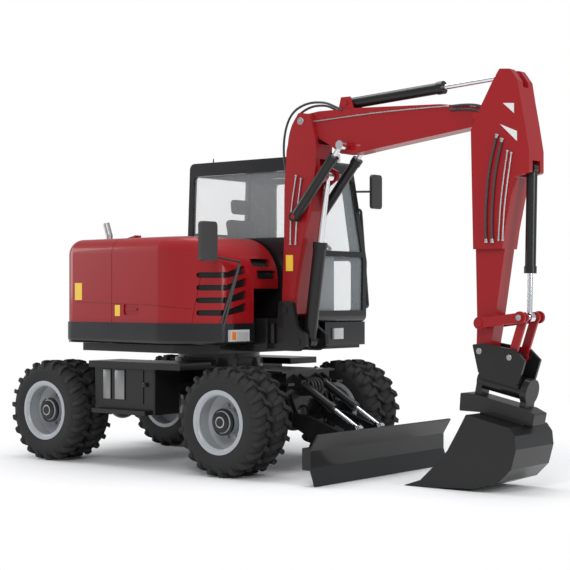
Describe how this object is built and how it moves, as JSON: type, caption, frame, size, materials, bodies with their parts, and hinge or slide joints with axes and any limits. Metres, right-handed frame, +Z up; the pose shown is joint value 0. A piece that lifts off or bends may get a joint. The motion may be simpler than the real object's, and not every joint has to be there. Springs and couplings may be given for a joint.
{
  "type": "wheeled excavator",
  "caption": "Wheeled excavator with twin tyres, folding boom, arm, tilting bucket, front dozer blade, offset cab and round tailed engine hood.",
  "frame": {"origin": "on the ground under the middle of the machine's length and width", "axes": "+X forward to the bucket, +Y to the driver's left, +Z up"},
  "size_m": [5.4251, 2.485, 3.489],
  "materials": {
    "tyre": "matte",
    "wheel_paint": "satin",
    "black_paint": "satin",
    "tool_paint": "matte",
    "chrome_rod": "polished",
    "skirt_plastic": "gloss",
    "red_paint": "gloss",
    "engine_iron": "matte",
    "bare_steel": "satin",
    "cab_paint": "gloss",
    "window_glass": "polished",
    "seat_fabric": "matte",
    "grey_plastic": "matte",
    "mirror_plastic": "matte",
    "lamp_glass": "gloss"
  },
  "bodies": {
    "chassis": {"chassis": "black_paint", "side_box_left": "black_paint", "side_box_right": "black_paint", "rear_axle": "black_paint", "front_axle": "black_paint"},
    "knuckle_left": {"knuckle_left": "black_paint"},
    "knuckle_right": {"knuckle_right": "black_paint"},
    "wheels_front_left": {"wheel_front_left": "wheel_paint", "tyres_front_left": "tyre"},
    "wheels_front_right": {"wheel_front_right": "wheel_paint", "tyres_front_right": "tyre"},
    "wheels_rear_left": {"wheel_rear_left": "wheel_paint", "tyres_rear_left": "tyre"},
    "wheels_rear_right": {"wheel_rear_right": "wheel_paint", "tyres_rear_right": "tyre"},
    "blade": {"blade": "black_paint"},
    "blade_barrels": {"blade_cylinder_barrels": "black_paint"},
    "blade_rods": {"blade_cylinder_rods": "chrome_rod"},
    "upper": {"upper_frame": "black_paint", "skirt_and_counterweight": "skirt_plastic", "front_cover": "red_paint", "cover_grilles": "black_paint", "engine": "engine_iron", "cab_shell": "cab_paint", "cab_glass": "window_glass", "seat": "seat_fabric", "console": "grey_plastic", "mirrors": "mirror_plastic", "hand_rails": "black_paint", "head_lamps": "lamp_glass", "work_lamps": "lamp_glass", "swing_post": "black_paint"},
    "hood": {"hood": "red_paint", "exhaust": "bare_steel"},
    "door": {"cab_door": "cab_paint", "door_glass": "window_glass"},
    "boom": {"boom_lower": "red_paint"},
    "lift_barrel": {"lift_cylinder_barrel": "black_paint"},
    "lift_rod": {"lift_cylinder_rod": "chrome_rod"},
    "boom_upper": {"boom_upper": "red_paint"},
    "adjust_barrels": {"adjust_cylinder_barrels": "black_paint"},
    "adjust_rods": {"adjust_cylinder_rods": "chrome_rod"},
    "arm": {"arm": "red_paint"},
    "arm_barrel": {"arm_cylinder_barrel": "black_paint"},
    "arm_rod": {"arm_cylinder_rod": "chrome_rod"},
    "rocker": {"rocker": "red_paint"},
    "coupler": {"tilt_coupler": "black_paint"},
    "link": {"link": "red_paint"},
    "bucket_barrel": {"bucket_cylinder_barrel": "black_paint"},
    "bucket_rod": {"bucket_cylinder_rod": "chrome_rod"},
    "bucket": {"tilting_hitch": "tool_paint", "bucket": "black_paint"}
  },
  "joints": [
    {"name": "slew", "type": "hinge", "parent": "chassis", "child": "upper", "pos_m": [-0.9, 0, 1.015], "axis": [0, 0, 1], "continuous": true},
    {"name": "steer_left", "type": "hinge", "parent": "chassis", "child": "knuckle_left", "pos_m": [0.025, 0.585, 0.49], "axis": [0, 0, 1], "range_deg": [-28, 28]},
    {"name": "steer_right", "type": "hinge", "parent": "chassis", "child": "knuckle_right", "pos_m": [0.025, -0.585, 0.49], "axis": [0, 0, 1], "range_deg": [-28.5, 28.5]},
    {"name": "front_left_wheel", "type": "hinge", "parent": "knuckle_left", "child": "wheels_front_left", "pos_m": [0.025, 0.855, 0.49], "axis": [0, 1, 0], "continuous": true},
    {"name": "front_right_wheel", "type": "hinge", "parent": "knuckle_right", "child": "wheels_front_right", "pos_m": [0.025, -0.855, 0.49], "axis": [0, 1, 0], "continuous": true},
    {"name": "rear_left_wheel", "type": "hinge", "parent": "chassis", "child": "wheels_rear_left", "pos_m": [-2.225, 0.855, 0.49], "axis": [0, 1, 0], "continuous": true},
    {"name": "rear_right_wheel", "type": "hinge", "parent": "chassis", "child": "wheels_rear_right", "pos_m": [-2.225, -0.855, 0.49], "axis": [0, 1, 0], "continuous": true},
    {"name": "blade_lift", "type": "hinge", "parent": "chassis", "child": "blade", "pos_m": [0.23, 0, 0.5], "axis": [0, -1, 0], "range_deg": [-8, 26]},
    {"name": "blade_cylinder_swing", "type": "hinge", "parent": "chassis", "child": "blade_barrels", "pos_m": [0.26, 0, 0.8], "axis": [0, -1, 0], "range_deg": [-7.99, 23.72]},
    {"name": "blade_rod_slide", "type": "slide", "parent": "blade_barrels", "child": "blade_rods", "axis": [0.8599, 0, -0.5105], "range_m": [-0.1347, 0.0449]},
    {"name": "boom_lift", "type": "hinge", "parent": "upper", "child": "boom", "pos_m": [0.177, -0.15, 1.48], "axis": [0, -1, 0], "range_deg": [-80, 6]},
    {"name": "lift_cylinder_swing", "type": "hinge", "parent": "upper", "child": "lift_barrel", "pos_m": [0.33, -0.15, 1.19], "axis": [0, -1, 0], "range_deg": [-73.57, 6.44]},
    {"name": "lift_rod_slide", "type": "slide", "parent": "lift_barrel", "child": "lift_rod", "axis": [0.1377, 0, 0.9905], "range_m": [-0.3944, 0.0342]},
    {"name": "boom_fold", "type": "hinge", "parent": "boom", "child": "boom_upper", "pos_m": [0.323, -0.15, 3.211], "axis": [0, 1, 0], "range_deg": [-62, 4]},
    {"name": "adjust_cylinder_swing", "type": "hinge", "parent": "boom", "child": "adjust_barrels", "pos_m": [0.306, -0.15, 2.333], "axis": [0, 1, 0], "range_deg": [-18.34, 2.12]},
    {"name": "adjust_rod_slide", "type": "slide", "parent": "adjust_barrels", "child": "adjust_rods", "axis": [0.642, 0, 0.7667], "range_m": [-0.0378, 0.5127]},
    {"name": "arm_swing", "type": "hinge", "parent": "boom_upper", "child": "arm", "pos_m": [2.172, -0.15, 3.117], "axis": [0, 1, 0], "range_deg": [-85, 6]},
    {"name": "arm_cylinder_swing", "type": "hinge", "parent": "boom_upper", "child": "arm_barrel", "pos_m": [0.79, -0.15, 3.345], "axis": [0, 1, 0], "range_deg": [-3.97, 1.21]},
    {"name": "arm_rod_slide", "type": "slide", "parent": "arm_barrel", "child": "arm_rod", "axis": [0.9983, 0, 0.0581], "range_m": [-0.5568, 0.044]},
    {"name": "bucket_curl", "type": "hinge", "parent": "arm", "child": "coupler", "pos_m": [2.215, -0.15, 1.15], "axis": [0, -1, 0], "range_deg": [-115, 62]},
    {"name": "rocker_swing", "type": "hinge", "parent": "arm", "child": "rocker", "pos_m": [2.23, -0.15, 1.384], "axis": [0, -1, 0], "range_deg": [-69.69, 38.03]},
    {"name": "link_swing", "type": "hinge", "parent": "coupler", "child": "link", "pos_m": [2.5, -0.15, 1.104], "axis": [0, -1, 0], "range_deg": [-45.89, 84.27]},
    {"name": "bucket_cylinder_swing", "type": "hinge", "parent": "arm", "child": "bucket_barrel", "pos_m": [2.635, -0.15, 2.655], "axis": [0, -1, 0], "range_deg": [-3.11, 2.14]},
    {"name": "bucket_rod_slide", "type": "slide", "parent": "bucket_barrel", "child": "bucket_rod", "axis": [-0.0204, 0, -0.9998], "range_m": [-0.2208, 0.4052]},
    {"name": "bucket_tilt", "type": "hinge", "parent": "coupler", "child": "bucket", "pos_m": [2.21, -0.15, 0.905], "axis": [0.9781, 0, -0.2079], "range_deg": [-67, 67]},
    {"name": "cab_door_swing", "type": "hinge", "parent": "upper", "child": "door", "pos_m": [-1.04, 1.026, 1.6], "axis": [0, 0, 1], "range_deg": [0, 165]},
    {"name": "hood_lift", "type": "hinge", "parent": "upper", "child": "hood", "pos_m": [-1.392, -0.48, 2.186], "axis": [0, 1, 0], "range_deg": [0, 50]}
  ],
  "couplings": [
    {"joint": "steer_right", "follows": "steer_left", "ratio": 1},
    {"joint": "blade_cylinder_swing", "follows": "blade_lift", "ratio": 0.8739},
    {"joint": "blade_rod_slide", "follows": "blade_lift", "m_per_rad": -0.2859},
    {"joint": "lift_cylinder_swing", "follows": "boom_lift", "ratio": 0.9071},
    {"joint": "lift_rod_slide", "follows": "boom_lift", "m_per_rad": 0.2789},
    {"joint": "adjust_cylinder_swing", "follows": "boom_fold", "ratio": 0.27966},
    {"joint": "adjust_rod_slide", "follows": "boom_fold", "m_per_rad": -0.46915},
    {"joint": "arm_cylinder_swing", "follows": "arm_swing", "ratio": 0.03489},
    {"joint": "arm_rod_slide", "follows": "arm_swing", "m_per_rad": 0.37196},
    {"joint": "rocker_swing", "follows": "bucket_curl", "ratio": 0.5973},
    {"joint": "link_swing", "follows": "bucket_curl", "ratio": -0.7241},
    {"joint": "bucket_cylinder_swing", "follows": "bucket_curl", "ratio": 0.01833},
    {"joint": "bucket_rod_slide", "follows": "bucket_curl", "m_per_rad": -0.1994}
  ]
}
